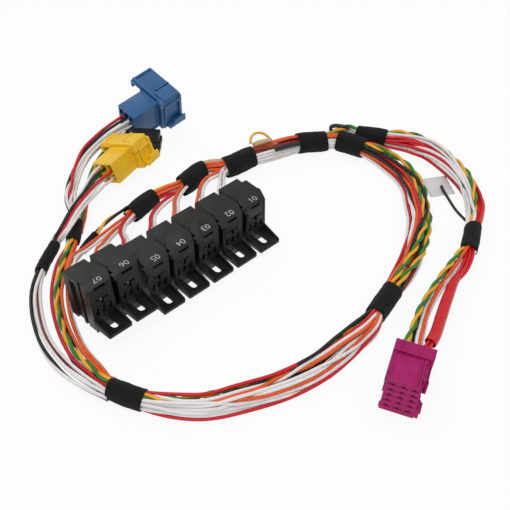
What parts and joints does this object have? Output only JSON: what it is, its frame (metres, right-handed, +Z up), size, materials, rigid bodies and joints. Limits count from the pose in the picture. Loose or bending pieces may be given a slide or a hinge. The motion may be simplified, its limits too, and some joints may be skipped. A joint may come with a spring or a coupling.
{
  "type": "wiring harness with relay sockets and plug connectors",
  "caption": "Loom of taped coloured wires in a loop, with a row of black relay sockets and magenta, blue, yellow and black plugs",
  "frame": {"origin": "the middle of the underside of relay_socket_1's housing, on the surface that the harness rests on", "axes": "row of sockets along -X, wires leave the sockets towards +Y, +Z up"},
  "size_m": [0.4749, 0.502, 0.0593],
  "materials": {
    "black_plastic": "finely textured moulded black nylon",
    "magenta_plastic": "satin moulded magenta plastic",
    "blue_plastic": "satin moulded blue plastic",
    "yellow_plastic": "satin moulded yellow plastic",
    "cloth_tape": "matt black woven cloth tape",
    "wire_insulation": "smooth vinyl insulation in several colours",
    "red_insulation": "smooth red vinyl insulation",
    "yellow_insulation": "smooth yellow vinyl insulation",
    "black_insulation": "smooth black vinyl insulation",
    "red_sleeve": "satin red heat-shrink sleeve",
    "black_sleeve": "satin black heat-shrink sleeve",
    "clear_sleeve": "amber tinted sleeve over a splice",
    "label_film": "satin white label film, bare"
  },
  "bodies": {
    "root": {"relay_socket_1": "black_plastic", "relay_socket_2": "black_plastic", "relay_socket_3": "black_plastic", "relay_socket_4": "black_plastic", "relay_socket_5": "black_plastic", "relay_socket_6": "black_plastic", "relay_socket_7": "black_plastic", "plug_15way_housing": "magenta_plastic", "plug_15way_collar": "magenta_plastic", "plug_blue_housing": "blue_plastic", "plug_blue_slide": "blue_plastic", "plug_yellow_housing": "yellow_plastic", "plug_yellow_slide": "yellow_plastic", "plug_black_housing": "black_plastic", "tape_a": "cloth_tape", "tape_b": "cloth_tape", "tape_c": "cloth_tape", "tape_e": "cloth_tape", "tape_f": "cloth_tape", "tape_g": "cloth_tape", "tape_h": "cloth_tape", "tape_i": "cloth_tape", "tape_j": "cloth_tape", "tape_k": "cloth_tape", "tape_l": "cloth_tape", "bundle_main_front": "wire_insulation", "bundle_main_right": "wire_insulation", "bundle_fork": "wire_insulation", "bundle_right": "wire_insulation", "bundle_plug_lead": "wire_insulation", "bundle_red_feed": "red_insulation", "bundle_bus_right": "wire_insulation", "bundle_bus_middle": "wire_insulation", "bundle_bus_left": "wire_insulation", "bundle_outer": "wire_insulation", "bundle_inner": "wire_insulation", "bundle_yellow_plug": "wire_insulation", "bundle_blue_plug": "wire_insulation", "bundle_black_plug": "wire_insulation", "bundle_pair": "wire_insulation", "sleeve_red": "red_sleeve", "sleeve_pair": "black_sleeve", "sleeve_clear": "clear_sleeve", "sleeve_dark": "black_sleeve", "sleeve_splice": "black_sleeve", "wire_loop": "yellow_insulation", "drop_1": "wire_insulation", "drop_2": "wire_insulation", "drop_3": "wire_insulation", "drop_4": "wire_insulation", "drop_5": "wire_insulation", "drop_6": "wire_insulation", "drop_7": "wire_insulation", "label_flag": "label_film", "label_lead": "black_insulation"}
  },
  "joints": []
}
